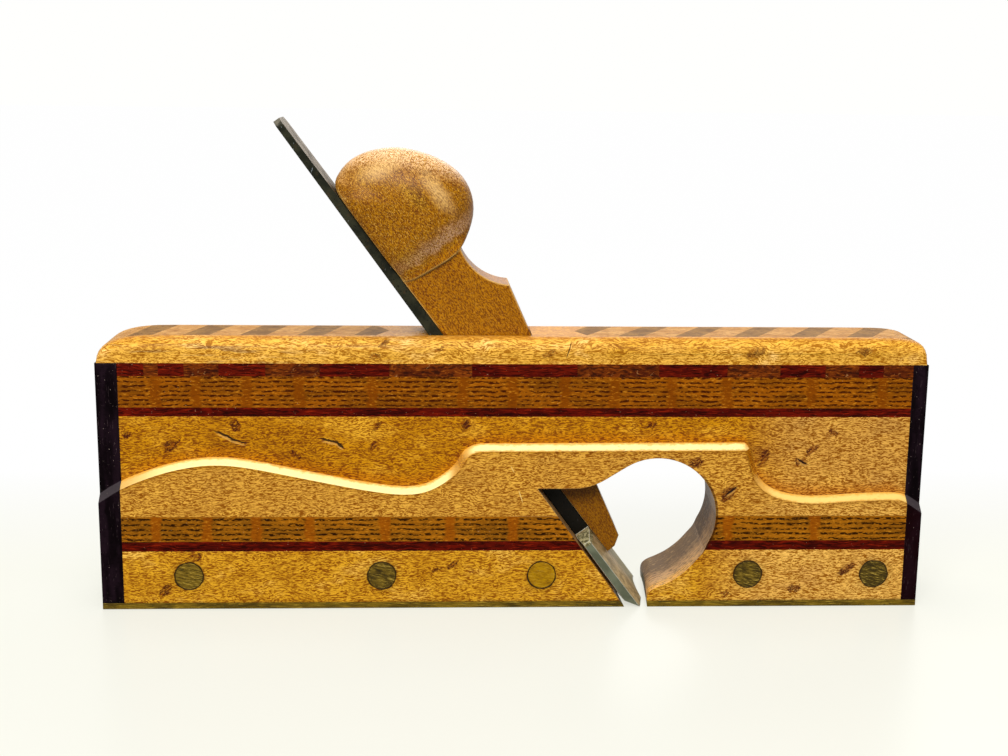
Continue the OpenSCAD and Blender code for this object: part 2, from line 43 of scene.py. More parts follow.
# The lower edge of the shoulder's slope, as (x, z), with its steep bends and its highest end
SHOULDER = [(0, 31.5), (6.7, 36.4), (16.6, 40.4), (25.6, 42.7), (34, 43.5), (43.5, 42.6),
            (59.5, 39.4), (75.7, 36.2), (88, 34.7), (96, 36.1), (103.3, 41), (107, 46.2),
            (110.3, 47.6), (187.9, 47.9), (190.2, 40), (193.7, 35.6), (199.5, 32.9),
            (208.3, 31.7), (221.4, 32.4), (232, 32.7), (241.3, 28.4)]
SHOULDER_Z_MAX = 60.0
HEEL_BEND_X, TOE_BEND_X, SLOPE_TOP_Z = 104.5, 191.5, 53.0

# Marks in the maple, as (x, z, slant in degrees, half length, half width). They go through a
# piece from side to side, so their depth is more than any piece has
MAIN_KNOTS = [(39.6, 54.7, -40, 2.6, 1.5), (8.7, 52, 10, 2.2, 1.2), (20.8, 48.8, 30, 3.2, 2.0),
              (56.7, 46.1, -30, 3.0, 1.2), (105.9, 55.1, 0, 2.2, 1.6), (80.4, 54.8, 60, 2.0, 0.9),
              (78.9, 48.5, 50, 2.4, 1.1), (160.6, 54.9, 20, 2.0, 1.3), (213.9, 52.5, 0, 2.0, 1.4),
              (208.3, 47.7, 35, 3.0, 1.1), (204.9, 43.7, -20, 2.6, 1.3),
              (173.2, 44.1, 20, 3.0, 2.0), (183, 34.7, 50, 3.4, 2.2), (194, 45.5, 70, 4.0, 1.6)]
MAIN_CRACKS = [(36.9, 51.6, -24, 4.8, 0.46), (40.2, 50.0, -14, 3.2, 0.32),
               (66.8, 50.2, -14, 3.8, 0.42), (69.4, 49.2, -42, 2.0, 0.6),
               (184.0, 35.6, 38, 2.8, 0.4), (205.4, 43.9, -28, 2.4, 0.36)]
MAIN_SCRATCHES = [(119.6, 42.3, -62, 1.3, 0.14), (122.1, 34.1, -72, 2.4, 0.16)]
LOW_KNOTS = [(27.4, 16.0, -20, 2.2, 1.3), (18.4, 5.7, 50, 2.6, 1.7), (102.3, 13.2, 30, 2.6, 0.9),
             (98.0, 11.9, 10, 2.4, 0.7), (107.6, 10.9, 0, 1.1, 0.7), (183.7, 4.0, -10, 2.2, 1.0),
             (203.9, 5.4, 0, 2.8, 1.3), (219.6, 11.4, 35, 3.2, 1.5)]
TOP_KNOTS = [(80.0, 75.2, 0, 2.2, 1.2), (82.3, 78.6, 30, 1.8, 0.9), (130.0, 76.0, 10, 2.6, 1.1),
             (190.0, 76.4, 20, 3.6, 1.8), (222.0, 77.0, 0, 3.0, 1.4), (98.0, 77.0, 0, 1.6, 0.8)]
TOP_CRACKS = [(135.7, 77.2, 72, 3.0, 0.17)]
HEAD_SWIRLS = [(92.0, 121.2, -58, 5.4, 2.4), (94.5, 127.5, 20, 2.0, 1.0)]
# Painted highlights on the wedge's head
HEAD_HIGHLIGHTS = [(81.0, 128.2, 24, 11.0, 4.0), (97.5, 122.0, -52, 11.0, 3.4)]
MARK_DEPTH = 1000.0

# Middles of the plain gaps between the runs of dashes
LOWER_GAPS = [16.3, 31.0, 45.2, 60.6, 82.4, 101.5, 120.0, 183.5, 209.5]
UPPER_GAPS = [17.0, 28.4, 42.9, 58.0, 78.9, 105.0, 119.5, 134.6, 149.1, 166.0, 182.2, 207.2, 228.1]

# How much darker and lighter than the wood its dashes are, in red, green and blue
DARKER, LIGHTER = (0.53, 0.69, 0.97), (0.46, 0.68, 3.2)

# How far apart the noise of two materials starts, for each whole step of the seed
SEED_STEP = (37.1, 11.3, 23.7)

# Faces that meet at less than this angle are shaded as one, once points this close (m) are one
SMOOTH_ANGLE = math.radians(26)
WELD = 2e-6

# Lamps are in metres from the middle of the stock's foot, and all aim at the same place
LAMP_AIM = (0, 0, 0.05)

# The photograph's camera: its place, its turns in radians, and its focal length in pixels
CAMERA_AT = (96.806, -416.095, 155.194)
TILT, TURN, ROLL = 0.203, 0.048, 0.012
FOCAL_PX, PHOTO_PX, SENSOR = 1480.742, 1008, 36.0


def colour(r, g, b):
    """A display colour from 0 to 255 as the linear colour that shaders take."""
    def lin(c):
        c = c / 255
        return c / 12.92 if c <= 0.04045 else ((c + 0.055) / 1.055) ** 2.4
    return (lin(r), lin(g), lin(b), 1.0)


class Nodes:
    """A node tree built by calls, most of which return a socket."""

    def __init__(self, tree):
        self.tree = tree
        tree.nodes.clear()

    def put(self, socket, value):
        """Feed the socket from another socket, or set its value."""
        if isinstance(value, bpy.types.NodeSocket):
            self.tree.links.new(value, socket)
        else:
            socket.default_value = value

    def add(self, kind, inputs=(), **props):
        """A new node, with its inputs given in their order, or by name or number."""
        node = self.tree.nodes.new(kind)
        for key, value in props.items():
            setattr(node, key, value)
        pairs = inputs.items() if isinstance(inputs, dict) else enumerate(inputs)
        for key, value in pairs:
            self.put(node.inputs[key], value)
        return node

    def math(self, op, a, b=0.0, c=0.0):
        return self.add("ShaderNodeMath", (a, b, c), operation=op).outputs[0]

    def vector(self, op, a, b=(0, 0, 0), c=(0, 0, 0)):
        node = self.add("ShaderNodeVectorMath", (a, b, c), operation=op)
        return node.outputs["Value" if op in ("DISTANCE", "LENGTH", "DOT_PRODUCT") else "Vector"]

    def split(self, v):
        return list(self.add("ShaderNodeSeparateXYZ", (v,)).outputs)

    def join(self, x, y, z):
        return self.add("ShaderNodeCombineXYZ", (x, y, z)).outputs[0]

    def reduce(self, op, values):
        """All values joined by one operation, such as MAXIMUM."""
        total = values[0] if values else 0.0
        for value in values[1:]:
            total = self.math(op, total, value)
        return total

    def both(self, a, b):
        return self.math("MULTIPLY", a, b)

    def moved(self, value, field, reach):
        """The value plus reach times the field."""
        return self.math("MULTIPLY_ADD", field, reach, value)

    def band(self, value, low, high, to_low=0.0, to_high=1.0, kind="SMOOTHSTEP"):
        """Goes from to_low to to_high while the value goes from low to high."""
        ends = (value, low, high, to_low, to_high)
        return self.add("ShaderNodeMapRange", ends, interpolation_type=kind).outputs[0]

    def fall(self, value, low, high):
        """1 where the value is under low, and 0 where it is over high."""
        return self.band(value, low, high, 1.0, 0.0)

    def mix(self, share, a, b, way="MIX"):
        """Two colours mixed. The node has its colours at inputs 6 and 7 and at output 2."""
        ends = {0: share, 6: a, 7: b}
        return self.add("ShaderNodeMix", ends, data_type="RGBA", blend_type=way).outputs[2]

    def mix_shaders(self, share, a, b):
        return self.add("ShaderNodeMixShader", (share, a, b)).outputs[0]


class Graph(Nodes):
    """A material made of fields over the object's own coordinates, in millimetres."""

    def __init__(self, name, seed):
        self.mat = bpy.data.materials.new(name)
        self.mat.use_nodes = True
        super().__init__(self.mat.node_tree)
        self.shader = self.add("ShaderNodeBsdfPrincipled")
        self.add("ShaderNodeOutputMaterial", (self.shader.outputs[0],))
        metres = self.add("ShaderNodeTexCoord").outputs["Object"]
        self.at = self.vector("MULTIPLY_ADD", metres, [1 / MM] * 3, (HALF_L, HALF_T, 0))
        self.seeded = self.vector("ADD", self.at, [seed * step for step in SEED_STEP])
        self.x, self.y, self.z = self.split(self.at)

    def noise(self, size, detail=2.0, rough=0.5, twist=0.0, at=None):
        """Noise whose features are about size (x, y, z) millimetres."""
        start = self.seeded if at is None else at
        scaled = self.vector("MULTIPLY", start, [1.0 / s for s in size])
        inputs = {"Vector": scaled, "Scale": 1.0, "Detail": detail, "Roughness": rough,
                  "Distortion": twist}
        return self.add("ShaderNodeTexNoise", inputs).outputs["Fac"]

    def tones(self, share, first, last):
        """From one display colour to another."""
        return self.mix(share, colour(*first), colour(*last))

    def over(self, base, where, share, tone):
        """The base with a share of a display colour over it, where the field is 1."""
        return self.mix(self.both(where, share), base, colour(*tone))

    def push(self, v, field, way):
        """v moved along way by the field, counted from its middle value."""
        amount = self.math("SUBTRACT", field, 0.5)
        return self.vector("MULTIPLY_ADD", self.join(amount, amount, amount), way, v)

    def near(self, value, places, reach, soft):
        """1 where the value is within reach of one of the places."""
        gaps = [self.math("ABSOLUTE", self.math("SUBTRACT", value, p)) for p in places]
        return self.fall(self.reduce("MINIMUM", gaps), reach, reach + soft)

    def marks(self, v, places, solid=0.55):
        """1 inside ellipses in the upright plane, each (x, z, slant, half length, half width)."""
        found = []
        for x, z, slant, length, width in places:
            ellipse = {"Vector": v, "Location": (x, 0, z), "Rotation": (0, -math.radians(slant), 0),
                       "Scale": (length, MARK_DEPTH, width)}
            inside = self.add("ShaderNodeMapping", ellipse, vector_type="TEXTURE").outputs[0]
            found.append(self.fall(self.vector("LENGTH", inside), solid, 1.0))
        return self.reduce("MAXIMUM", found)

    def along(self, points, x_max, z_max):
        """The height of a curve through the points (x, z) at each place along the stock."""
        node = self.add("ShaderNodeFloatCurve", {"Value": self.math("DIVIDE", self.x, x_max)})
        curve = node.mapping.curves[0]
        while len(curve.points) < len(points):
            curve.points.new(0.5, 0.5)
        for point, (x, z) in zip(curve.points, points):
            point.location = (x / x_max, z / z_max)
            point.handle_type = "VECTOR"
        node.mapping.update()
        return self.math("MULTIPLY", node.outputs[0], z_max)

    def facing(self, axis):
        """How far the surface faces along x, y or z, from -1 to 1."""
        normal = self.add("ShaderNodeNewGeometry").outputs["Normal"]
        return self.split(normal)["xyz".index(axis)]

    def rounded(self, radius):
        """The surface's normal with its edges rounded by the radius."""
        return self.add("ShaderNodeBevel", {"Radius": radius * MM}, samples=6).outputs[0]

    def edges(self, radius):
        """1 along sharp edges, found where a rounded normal leaves the true one."""
        flat = self.add("ShaderNodeNewGeometry").outputs["True Normal"]
        return self.band(self.vector("DOT_PRODUCT", self.rounded(radius), flat), 0.995, 0.93)

    def finish(self, base, rough, height, depth, round_edge=0.0, metal=0.0, coat=0.0,
               coat_rough=0.2, specular=0.1):
        """The material, with a relief of so many millimetres and edges that look rounded."""
        bump = {"Distance": depth * MM, "Strength": 1.0, "Height": height}
        if round_edge:
            bump["Normal"] = self.rounded(round_edge)
        surface = {"Base Color": base, "Roughness": rough, "Metallic": metal,
                   "Specular IOR Level": specular, "Coat Weight": coat,
                   "Coat Roughness": coat_rough,
                   "Normal": self.add("ShaderNodeBump", bump).outputs[0]}
        for name, value in surface.items():
            self.put(self.shader.inputs[name], value)
        return self.mat


def inside_throat(g):
    """1 on the walls of the hole and the mouth, which face along the stock or up and down."""
    side_on = g.fall(g.math("ABSOLUTE", g.facing("y")), 0.55, 0.7)
    in_x = g.both(g.band(g.x, THROAT_HEEL - 1, THROAT_HEEL + 1),
                  g.fall(g.x, THROAT_TOE - 1, THROAT_TOE + 1))
    return g.both(side_on, g.both(in_x, g.fall(g.z, THROAT_ROOF - 0.4, THROAT_ROOF + 0.4)))


def throat_colour(g, plain):
    """The hole's handled walls: dull grey brown with worn pale patches, painted shade deeper in and
    higher up, and a painted golden highlight low down towards the near edge.
    """
    smear = g.noise((9, 3, 9), 4, 0.65)
    # painted shade: darker deeper into the throat
    shade_deep_in = g.band(g.moved(g.y, smear, 14.0), 14.0, 24.0)
    wall = g.tones(shade_deep_in, (204, 158, 104), (98, 72, 40))
    # painted shade: darker higher up in the hole
    high = g.band(g.moved(g.z, smear, 8.0), 17.0, 27.0)
    wall = g.over(wall, high, 0.5, (92, 66, 36))
    # a painted golden highlight low down, towards the near edge
    gold = g.both(g.fall(g.moved(g.y, smear, 8.0), 6.0, 10.0), g.fall(g.z, 7.0, 18.0))
    wall = g.over(wall, gold, 0.85, (244, 178, 70))
    streak = g.band(g.noise((2.0, 0.7, 2.0), 5, 0.75), 0.49, 0.58)
    wall = g.over(wall, streak, 0.75, (66, 42, 20))
    pale = g.band(g.noise((2.2, 0.8, 2.2), 4, 0.75), 0.54, 0.66)
    wall = g.over(wall, pale, 0.5, (206, 168, 108))
    # a painted shadow line beside the hole, on its toe side
    around = g.vector("DISTANCE", g.join(g.x, 0.0, g.z), (HOLE_X, 0, HOLE_Z))
    ring = g.near(around, [SHADOW_LINE_R], 0.18, 0.25)
    toe_side = g.band(g.x, 169.0, 171.0)
    mid_height = g.both(g.band(g.z, 12.0, 14.0), g.fall(g.z, 39.0, 41.0))
    plain = g.over(plain, g.both(g.both(ring, toe_side), mid_height), 0.75, (48, 20, 2))
    return g.mix(g.both(inside_throat(g), 0.94), plain, wall)


def grain(g, length=2.0, width=0.25, curl=1.0):
    """Fine wavy dashes along the stock, as figured wood shows them."""
    sway = g.noise((11, 11, 9), 2)
    wave = g.push(g.seeded, sway, (0, 6 * curl, 6 * curl))
    ripple = g.noise((2.4, 2.4, 2.0), 1)
    wave = g.push(wave, ripple, (0, curl, curl))
    return wave, g.noise((length, width * 1.6, width), 2, 0.6, at=wave)


def clouds(g, wave, dark, mid, light):
    """Broad patches of three tones."""
    cloud = g.noise((15, 9, 7), 3, 0.6, at=wave)
    base = g.tones(g.band(cloud, 0.50, 0.74), mid, dark)
    return g.mix(g.band(cloud, 0.48, 0.26), base, colour(*light))


def figure(g, base, dash, strength=1.0):
    """The base under dashes darker and lighter than it, and finer specks between them."""
    speck = g.noise((0.7, 0.4, 0.26), 1, 0.6)
    tone = g.moved(dash, g.math("SUBTRACT", speck, 0.5), 0.4)
    low = [1 - share * strength for share in DARKER] + [1]
    high = [1 + share * strength for share in LIGHTER] + [1]
    return g.mix(1.0, base, g.mix(g.band(tone, 0.39, 0.61), low, high), "MULTIPLY")


def knots_and_cracks(g, base, knots, cracks, strength=1.0):
    """Small brown eyes with swirls in them, and short dark cracks with a lit lower edge."""
    warp = g.push(g.at, g.noise((1.3, 1.3, 1.3), 3, 0.6), (4.2, 0, 4.2))
    eye = g.marks(warp, knots)
    swirl = g.band(g.noise((1.1, 1.1, 0.7), 2, 0.6, 1.2, at=warp), 0.46, 0.53)
    base = g.over(base, eye, 0.55 * strength, (124, 52, 0))
    base = g.over(base, g.both(eye, swirl), 0.92 * strength, (60, 14, 0))
    warp = g.push(g.at, g.noise((2.2, 2.2, 2.2), 3), (0.8, 0, 0.8))
    below = [(x, z - 0.7, slant, 0.8 * length, width) for x, z, slant, length, width in cracks]
    base = g.over(base, g.marks(warp, below), 0.5, (228, 172, 84))
    crack = g.marks(warp, cracks)
    base = g.over(base, crack, 0.94, (24, 10, 2))
    swirl_height = g.both(eye, g.both(swirl, -0.6))
    return base, g.moved(swirl_height, crack, -2.0)


def around_pins(g, base):
    """A dark, broken ring round each pin, in wood stained darker beside it."""
    flat_at = g.join(g.x, 0.0, g.z)
    nearest = g.reduce("MINIMUM", [g.vector("DISTANCE", flat_at, (x, 0, PIN_Z)) for x in PINS])
    patches = g.noise((2.2, 2.2, 2.2), 2)
    stain = g.band(nearest, PIN_R, PIN_R + 2.6, 0.55, 0.0)
    base = g.over(base, stain, patches, (96, 66, 8))
    wide = g.band(patches, 0.30, 0.65, 0.18, 0.42)
    ring = g.fall(g.math("SUBTRACT", nearest, wide), PIN_R, PIN_R + 0.2)
    return g.over(base, ring, 0.94, (26, 18, 2))


def over_shoulder(g):
    """Height above the lower edge of the shoulder's slope."""
    return g.math("SUBTRACT", g.z, g.along(SHOULDER, 2 * HALF_L, SHOULDER_Z_MAX))


def by_the_shoulder(g, base, over):
    """Painted amber shade in the cove above the shoulder's slope, lighter below it, and a thin
    painted shadow line at the slope's foot.
    """
    soft = g.moved(-1.5, g.noise((7, 7, 5), 3), 3.0)
    # painted shade in the cove above the slope
    painted_cove = g.both(g.band(over, 1.2, 2.2), g.fall(g.math("ADD", over, soft), 2.2, 6.6))
    base = g.over(base, painted_cove, 0.6, (166, 92, 0))
    base = g.over(base, g.fall(over, -0.5, 0.3), 0.5, (206, 150, 42))
    # a thin painted shadow line just under the slope's lower edge
    shadow_line = g.both(g.band(over, -1.3, -0.2), g.fall(over, 0.0, 0.3))
    return g.over(base, shadow_line, 0.45, (150, 94, 6))


def worn_and_lit_slope(g, base, over):
    """The slope itself, rubbed pale and given a painted highlight where it faces up, with a broken
    golden line along its top and its foot.
    """
    tilted = g.band(g.facing("z"), 0.30, 0.62)
    within = g.both(g.fall(g.y, RECESS - 0.1, RECESS), g.fall(over, 4.0, 5.0))
    slope = g.both(tilted, within)
    rough = g.noise((1.6, 2, 0.5), 3, 0.7)
    across = g.moved(g.math("ADD", g.y, -0.8), rough, 1.6)
    toe = g.band(g.x, TOE_BEND_X - 5.5, TOE_BEND_X + 4.5)
    middle = g.tones(toe, (248, 232, 158), (234, 198, 112))
    # the heel end and the two steep bends are less rubbed and get less painted highlight
    heel_end = g.band(g.x, 5.0, 24.0, 0.9, 0.0)
    heel_bend = g.near(g.x, [HEEL_BEND_X], 1.5, 3.0)
    toe_bend = g.both(g.near(g.x, [TOE_BEND_X], 2.0, 3.5), 0.8)
    dull = g.reduce("MAXIMUM", [heel_end, heel_bend, toe_bend])
    middle = g.over(middle, dull, 0.8, (206, 142, 44))
    pale = g.mix(g.band(across, 1.5, 2.5), middle, colour(222, 160, 62))
    foot = g.both(g.fall(across, 0.0, 0.7), g.band(g.x, HEEL_BEND_X - 4.5, HEEL_BEND_X + 3.5))
    pale = g.over(pale, foot, 0.8, (196, 136, 40))
    grit = g.band(rough, 0.60, 0.72)
    pale = g.over(pale, grit, 0.5, (206, 150, 60))
    return g.mix(slope, base, pale), slope


def maple_board(name, seed):
    """The main board, with its shoulder, its knots and the hole's rim."""
    g = Graph(name, seed)
    wave, dash = grain(g)
    over = over_shoulder(g)
    base = clouds(g, wave, (140, 82, 0), (170, 108, 2), (196, 136, 18))
    base = g.over(base, g.band(g.x, 184.0, 206.0), 0.5, (204, 150, 50))
    base = by_the_shoulder(g, base, over)
    base = figure(g, base, dash)
    base, slope = worn_and_lit_slope(g, base, over)
    base, height = knots_and_cracks(g, base, MAIN_KNOTS, MAIN_CRACKS)
    base = g.over(base, g.marks(g.at, MAIN_SCRATCHES), 0.8, (248, 214, 130))
    base = throat_colour(g, base)
    # the hole's edge, worn pale towards the heel and painted dark with shade towards the toe
    rim = g.both(g.band(g.x, THROAT_HEEL - 1, THROAT_HEEL + 1),
                 g.fall(g.z, THROAT_ROOF - 0.5, THROAT_ROOF + 0.2))
    rim = g.both(g.edges(0.35), rim)
    line = g.tones(g.band(g.x, 172.0, 176.0), (206, 164, 104), (62, 38, 14))
    base = g.mix(g.both(rim, 0.65), base, line)
    rough = g.moved(0.45, slope, -0.11)
    return g.finish(base, rough, g.moved(height, dash, 0.5), 0.06, 0.3)


def maple_lower(name, seed):
    """The boards over the sole, grimy at their foot."""
    g = Graph(name, seed)
    wave, dash = grain(g, 1.9, 0.24)
    base = clouds(g, wave, (164, 102, 2), (192, 132, 14), (214, 158, 40))
    base = g.over(base, g.band(g.x, 172.0, 196.0), 0.45, (222, 168, 62))
    foot = g.fall(g.moved(g.z, g.noise((5, 5, 2), 3), 1.6), SOLE_T + 0.2, SOLE_T + 1.6)
    base = g.over(base, foot, 0.6, (104, 70, 4))
    base = figure(g, base, dash)
    base, height = knots_and_cracks(g, base, LOW_KNOTS, [])
    base = around_pins(g, base)
    base = throat_colour(g, base)
    return g.finish(base, 0.45, g.moved(height, dash, 0.5), 0.06, 0.3)


def maple_top(name, seed):
    """The top board, greyer towards the heel, with painted shade that makes its upper face browner.
    """
    g = Graph(name, seed)
    wave, dash = grain(g, 2.3, 0.26)
    base = clouds(g, wave, (184, 126, 18), (207, 149, 36), (223, 171, 66))
    grime = g.both(g.band(g.noise((16, 3, 1.0), 4, 0.65), 0.52, 0.66),
                   g.band(g.x, 20, 110, 0.6, 0.12))
    base = g.mix(grime, base, colour(112, 84, 46))
    base = figure(g, base, dash, 0.86)
    # painted shade: the face that looks up is made browner
    base = g.over(base, g.band(g.facing("z"), 0.7, 0.97), 0.5, (164, 100, 22))
    base, height = knots_and_cracks(g, base, TOP_KNOTS, TOP_CRACKS, 0.75)
    seam = g.near(g.y, [INLAY_Y - 0.1], 0.05, 0.25)
    base = g.over(base, seam, 0.6, (104, 62, 14))
    return g.finish(base, 0.42, g.moved(height, dash, 0.5), 0.06, specular=0.08)


def up_the_bed(g):
    """Length up the bed from the sole."""
    way = (-math.cos(BED_ANGLE), 0, math.sin(BED_ANGLE))
    return g.vector("DOT_PRODUCT", g.vector("ADD", g.at, (-BED_X, 0, 0)), way)


def wedge_maple(name, seed):
    """Honey coloured and speckled with fine pores, with painted highlights in the cove under its
    head and on the head.
    """
    g = Graph(name, seed)
    u = up_the_bed(g)
    # the grain runs up the bed
    turned = {"Vector": g.seeded, "Rotation": (0, -BED_ANGLE, 0)}
    g.seeded = g.add("ShaderNodeMapping", turned).outputs[0]
    wave, dash = grain(g, 0.9, 0.24, 0.8)
    base = clouds(g, wave, (121, 70, 0), (144, 89, 0), (163, 112, 11))
    # the blade is redder than the head
    blade = g.fall(u, HEAD_U - 0.7, HEAD_U + 0.7)
    base = g.over(base, blade, 0.5, (156, 92, 0))
    # painted highlights: a pale band in the cove under the head, and a paler head top where it faces
    # up
    soft = g.moved(g.math("ADD", u, -2.5), g.noise((6, 5, 4), 3), 5.0)
    painted_cove = g.both(g.band(soft, HEAD_U + 0.9, HEAD_U + 2.7), g.fall(soft, HEAD_U + 3.7, HEAD_U + 7.1))
    painted_cove = g.both(painted_cove, g.band(g.x, 84.0, 98.0, 0.12, 0.4))
    base = g.mix(painted_cove, base, colour(204, 164, 96))
    # painted highlight on the head's top, where it faces up
    top = g.both(g.band(g.facing("z"), 0.35, 0.9), g.band(g.z, 110, 116))
    base = g.over(base, top, 0.75, (228, 182, 96))
    base = figure(g, base, dash, 0.9)
    pore = g.band(g.noise((0.6, 0.36, 0.22), 2, 0.6), 0.57, 0.64)
    base = g.over(base, pore, g.band(blade, 0.0, 1.0, 0.66, 0.4), (76, 38, 0))
    gold = g.band(g.noise((0.5, 0.36, 0.24), 2, 0.6), 0.42, 0.35)
    base = g.over(base, gold, g.band(blade, 0.0, 1.0, 0.6, 0.3), (230, 178, 80))
    # its lower end stands in the throat's shade
    base = g.mix(g.band(g.z, SHADE_Z, SHADE_Z + 8, 0.45, 0.0), base, colour(84, 48, 0))
    swirl = g.marks(g.push(g.at, g.noise((1.2, 1.2, 1.2), 3), (3.2, 0, 3.2)), HEAD_SWIRLS)
    fold = g.band(g.noise((1.0, 1.0, 0.8), 3, 0.6, 1.6, at=g.at), 0.44, 0.58)
    base = g.over(base, g.both(swirl, fold), 0.75, (92, 50, 0))
    # painted highlights on the head, broken up by the grain
    patches = g.marks(g.push(g.at, g.noise((5, 5, 5), 3), (2.0, 0, 2.0)), HEAD_HIGHLIGHTS, 0.0)
    base = g.over(base, patches, g.band(dash, 0.30, 0.60, 0.25, 0.65), (232, 190, 124))
    # edges are pale above the stock, and greyer in the throat
    high = g.both(g.edges(0.8), g.band(g.z, STOCK_TOP + 1.5, STOCK_TOP + 3.5))
    base = g.over(base, high, 0.75, (238, 192, 108))
    low = g.both(g.edges(0.35), g.fall(g.z, SHADE_Z + 2, SHADE_Z + 4))
    base = g.over(base, low, 0.6, (196, 176, 124))
    height = g.moved(dash, pore, -0.8)
    return g.finish(base, 0.34, height, 0.05, 0.9, coat=0.12, coat_rough=0.3, specular=0.06)


def red_wood(name, seed, light, dark, throat=False):
    """Dark red wood with long dark pores. Where it crosses the throat, its walls are worn, with
    painted shade and a painted highlight.
    """
    g = Graph(name, seed)
    wave, dash = grain(g, 4.0, 0.34, 0.5)
    base = g.tones(g.band(g.noise((20, 5, 1.6), 3, 0.6, at=wave), 0.36, 0.66), light, dark)
    base = g.over(base, g.band(dash, 0.50, 0.62), 0.85, (24, 2, 1))
    base = g.over(base, g.band(dash, 0.42, 0.30), 0.5, (160, 44, 10))
    dust = g.band(g.noise((0.5, 0.5, 0.4), 2), 0.72, 0.76)
    base = g.over(base, dust, 0.7, (214, 168, 128))
    if throat:
        base = throat_colour(g, base)
    rough = g.band(dash, 0.3, 0.7, 0.36, 0.5)
    return g.finish(base, rough, g.both(dash, -0.6), 0.03, 0.2, specular=0.03)


def streaked_wood(name, seed, gaps, pitch, ground, gap_tone, ink_tone, throat=False):
    """Brown wood with short dark dashes in rows, in runs parted by plain gaps."""
    g = Graph(name, seed)
    wave, dash = grain(g, 1.6, 0.36, 0.6)
    cloud = g.band(g.noise((14, 6, 3), 3, at=wave), 0.35, 0.68)
    base = g.tones(cloud, ground, [0.8 * c for c in ground])
    lift = g.moved(g.z, g.noise((4.4, 6, 2.2), 2), 1.2)
    row = g.math("FRACT", g.math("DIVIDE", lift, pitch))
    line = g.fall(g.math("ABSOLUTE", g.math("SUBTRACT", row, 0.5)), 0.16, 0.30)
    broken = g.band(g.noise((1.6, 2.0, 0.6), 3, 0.65), 0.43, 0.53)
    edge = g.moved(g.math("ADD", g.x, -1.2), g.noise((3, 3, 2), 2), 2.4)
    plain = g.near(edge, gaps, 0.9, 1.1)
    ink = g.both(g.both(line, broken), g.math("SUBTRACT", 1.0, plain))
    base = g.over(base, plain, 0.7, gap_tone)
    base = g.over(base, g.band(dash, 0.52, 0.68), 0.5, (78, 36, 4))
    base = g.over(base, g.band(dash, 0.43, 0.30), 0.6, (208, 138, 34))
    base = g.over(base, ink, 0.96, ink_tone)
    dust = g.band(g.noise((0.5, 0.5, 0.5), 2), 0.76, 0.80)
    base = g.over(base, dust, 0.6, (226, 190, 140))
    if throat:
        base = throat_colour(g, base)
    rough = g.band(dash, 0.3, 0.7, 0.36, 0.5)
    return g.finish(base, rough, g.both(ink, -0.6), 0.05, 0.2, specular=0.03)


def brown_blocks(name, seed):
    """Red brown wood with pale nicks."""
    g = Graph(name, seed)
    wave, dash = grain(g, 2.2, 0.4, 0.7)
    cloud = g.band(g.noise((9, 5, 3), 3, at=wave), 0.35, 0.68)
    base = g.tones(cloud, (112, 48, 6), (74, 24, 4))
    base = g.over(base, g.band(dash, 0.5, 0.62), 0.85, (36, 8, 2))
    base = g.over(base, g.band(dash, 0.44, 0.30), 0.55, (168, 92, 24))
    pushed = g.push(g.seeded, dash, (3, 0, 3))
    nick = g.band(g.noise((0.6, 0.5, 2.4), 2, at=pushed), 0.70, 0.74)
    base = g.over(base, nick, 0.5, (206, 150, 92))
    return g.finish(base, 0.42, g.both(dash, -0.5), 0.03, 0.15, specular=0.05)


def dark_wood(name, seed):
    """Near black wood with a purple cast, specks of dust, and scratches towards its edges."""
    g = Graph(name, seed)
    wave, dash = grain(g, 1.2, 0.5)
    cloud = g.band(g.noise((3, 4, 16), 3, at=wave), 0.36, 0.7)
    base = g.tones(cloud, (6, 2, 4), (28, 16, 24))
    reddish = g.both(g.band(g.x, 200.0, 220.0), g.fall(g.z, 28.0, 34.0))
    base = g.over(base, reddish, 0.6, (26, 3, 6))
    base = g.over(base, g.band(dash, 0.52, 0.7), 0.5, (3, 1, 2))
    bent = g.push(g.seeded, g.noise((9, 9, 9), 2), (4, 4, 4))
    scratch = g.band(g.noise((0.22, 0.4, 5.0), 2, at=bent), 0.67, 0.73)
    base = g.over(base, scratch, 0.5, (84, 68, 72))
    speck = g.band(g.noise((0.5, 0.5, 0.5), 2), 0.71, 0.76)
    base = g.over(base, speck, 0.7, (170, 150, 140))
    # nicks at the foot of the heel's piece
    rub = g.both(g.fall(g.z, 3.0, 8.0), g.fall(g.x, 100.0, 120.0))
    lean = g.vector("MULTIPLY_ADD", g.join(g.z, 0.0, g.x), (0.8, 0, -0.9), g.seeded)
    nicks = g.band(g.noise((0.32, 1.0, 3.4), 2, at=lean), 0.68, 0.73)
    base = g.over(base, g.both(rub, nicks), 0.6, (168, 150, 130))
    # a painted grey highlight on the caps' slope, where it faces up
    slope = g.both(g.band(g.facing("z"), 0.30, 0.62), g.fall(g.z, SLOPE_TOP_Z - 1, SLOPE_TOP_Z + 1))
    base = g.over(base, slope, 0.5, (82, 74, 78))
    edge = g.both(g.edges(0.4), g.band(g.noise((2, 2, 6), 3), 0.42, 0.6))
    base = g.over(base, edge, 0.35, (64, 58, 60))
    rough = g.band(g.noise((5, 5, 5), 3), 0.3, 0.7, 0.30, 0.46)
    return g.finish(base, rough, g.both(dash, -0.5), 0.03, 0.8, specular=0.02)


